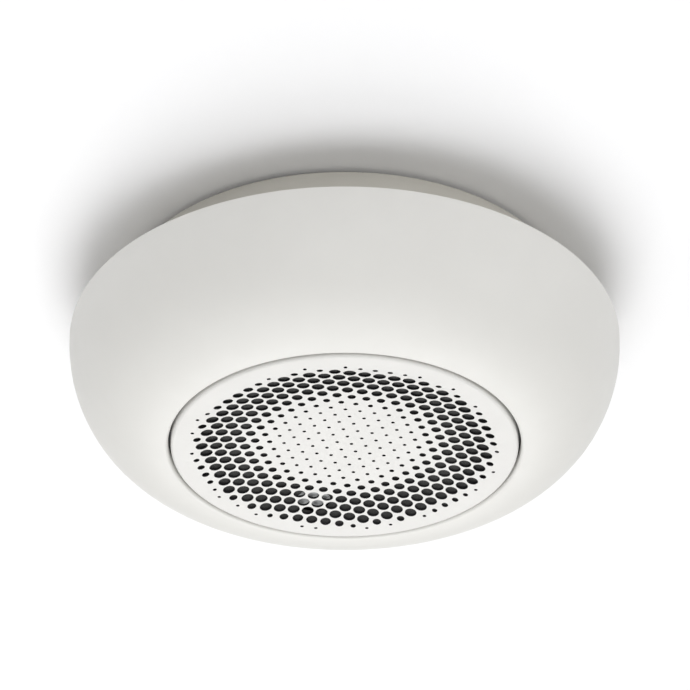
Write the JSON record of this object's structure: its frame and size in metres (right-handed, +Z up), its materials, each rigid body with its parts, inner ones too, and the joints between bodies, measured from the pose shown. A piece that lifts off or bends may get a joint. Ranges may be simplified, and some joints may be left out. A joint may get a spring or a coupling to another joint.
{
  "type": "alarm siren",
  "caption": "Round ceiling alarm siren: domed shell, dished grille with graded holes, loudspeaker, cells and tamper plunger, on a twist-off ceiling plate.",
  "frame": {"origin": "middle of the ceiling plate's face that meets the ceiling; the siren hangs below it, so it lies at z <= 0", "axes": "+Z up, out of the face that meets the ceiling, along the shell's axis of symmetry; +Y towards the status lamp's side; +X towards the tamper plunger"},
  "size_m": [0.14, 0.14, 0.0453],
  "materials": {
    "off_white_plastic": "fine matt moulded plastic",
    "warm_grey_plastic": "fine matt moulded plastic",
    "white_coated_steel": "matt powder coat",
    "black_plastic": "matt",
    "black_cloth": "fine woven acoustic cloth",
    "frosted_lens": "translucent diffuser",
    "closed_foam": "closed-cell foam",
    "zinc_steel": "zinc plated",
    "ferrite": "sintered, dull",
    "paper_cone": "coated pulp",
    "surround_rubber": "moulded roll",
    "copper_coil": "enamelled copper",
    "circuit_laminate": "solder mask over laminate",
    "tinned_steel": "tinned",
    "chip_black": "moulded epoxy",
    "connector_nylon": "natural nylon",
    "capacitor_sleeve": "anodised can",
    "brass_contact": "bright",
    "spring_steel": "nickel plated",
    "cell_wrap": "heat-shrunk film",
    "lamp_white": "moulded lamp",
    "grey_plastic": "matt",
    "wire_sleeve": "insulated wire"
  },
  "bodies": {
    "ceiling_mount": {"ceiling_plate": "warm_grey_plastic"},
    "siren_unit": {"acoustic_mesh": "black_cloth", "amplifier_chip": "chip_black", "antenna": "brass_contact", "baffle_screws": "zinc_steel", "battery_1": "cell_wrap", "battery_2": "cell_wrap", "battery_3": "cell_wrap", "battery_4": "cell_wrap", "battery_contacts": "tinned_steel", "battery_springs": "spring_steel", "board_screws": "zinc_steel", "capacitors": "capacitor_sleeve", "front_shell": "off_white_plastic", "grille": "white_coated_steel", "housing_screws": "zinc_steel", "led_lens": "frosted_lens", "main_board": "circuit_laminate", "pairing_switch": "chip_black", "power_inductor": "ferrite", "processor_chip": "chip_black", "radio_shield": "tinned_steel", "rear_housing": "warm_grey_plastic", "speaker_baffle": "black_plastic", "speaker_connector": "connector_nylon", "speaker_frame": "zinc_steel", "speaker_gasket": "closed_foam", "speaker_leads": "wire_sleeve", "speaker_magnet": "ferrite", "speaker_screws": "zinc_steel", "speaker_surround": "surround_rubber", "speaker_terminals": "brass_contact", "speaker_top_plate": "zinc_steel", "speaker_yoke": "zinc_steel", "status_led": "lamp_white", "tamper_spring": "spring_steel", "tamper_switch": "chip_black"},
    "cone": {"speaker_cone": "paper_cone", "dust_cap": "paper_cone", "voice_coil": "copper_coil"},
    "plunger": {"tamper_plunger": "black_plastic"},
    "button": {"pairing_button": "grey_plastic"}
  },
  "joints": [
    {"name": "bayonet_twist", "type": "hinge", "parent": "ceiling_mount", "child": "siren_unit", "pos_m": [0, 0, -0.006], "axis": [0, 0, 1], "range_deg": [-18, 0]},
    {"name": "cone_stroke", "type": "slide", "parent": "siren_unit", "child": "cone", "axis": [0, 0, 1], "range_m": [-0.0008, 0.0008], "stiffness_N_per_m": 900},
    {"name": "tamper_press", "type": "slide", "parent": "siren_unit", "child": "plunger", "axis": [0, 0, -1], "range_m": [0, 0.0014], "stiffness_N_per_m": 120, "springref_m": -0.002, "deforming": ["tamper_spring"]},
    {"name": "pairing_press", "type": "slide", "parent": "siren_unit", "child": "button", "axis": [0, 0, -1], "range_m": [0, 0.0005], "stiffness_N_per_m": 1500, "springref_m": -0.0003}
  ]
}
